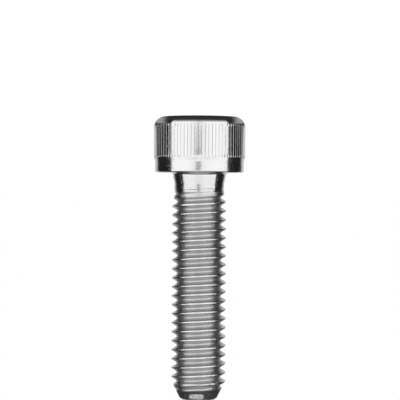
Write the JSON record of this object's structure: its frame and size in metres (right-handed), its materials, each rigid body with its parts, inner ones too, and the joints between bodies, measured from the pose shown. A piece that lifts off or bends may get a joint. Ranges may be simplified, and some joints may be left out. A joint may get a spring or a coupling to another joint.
{
  "type": "hex socket cap screw",
  "caption": "Machine screw with a knurled cylindrical head, a hexagon socket in its top, a short plain neck and a right-hand thread down to a chamfered point.",
  "frame": {"origin": "centre of the head's flat top face, which the screw stands on", "axes": "+Z runs along the axis from the head's top face to the threaded point; +X passes through a corner of the hexagon socket"},
  "size_m": [0.0082, 0.0082, 0.0252],
  "materials": {
    "plated_steel": "bright zinc plate, drawn and rolled surfaces"
  },
  "bodies": {
    "root": {"cap_screw": "plated_steel"}
  },
  "joints": []
}
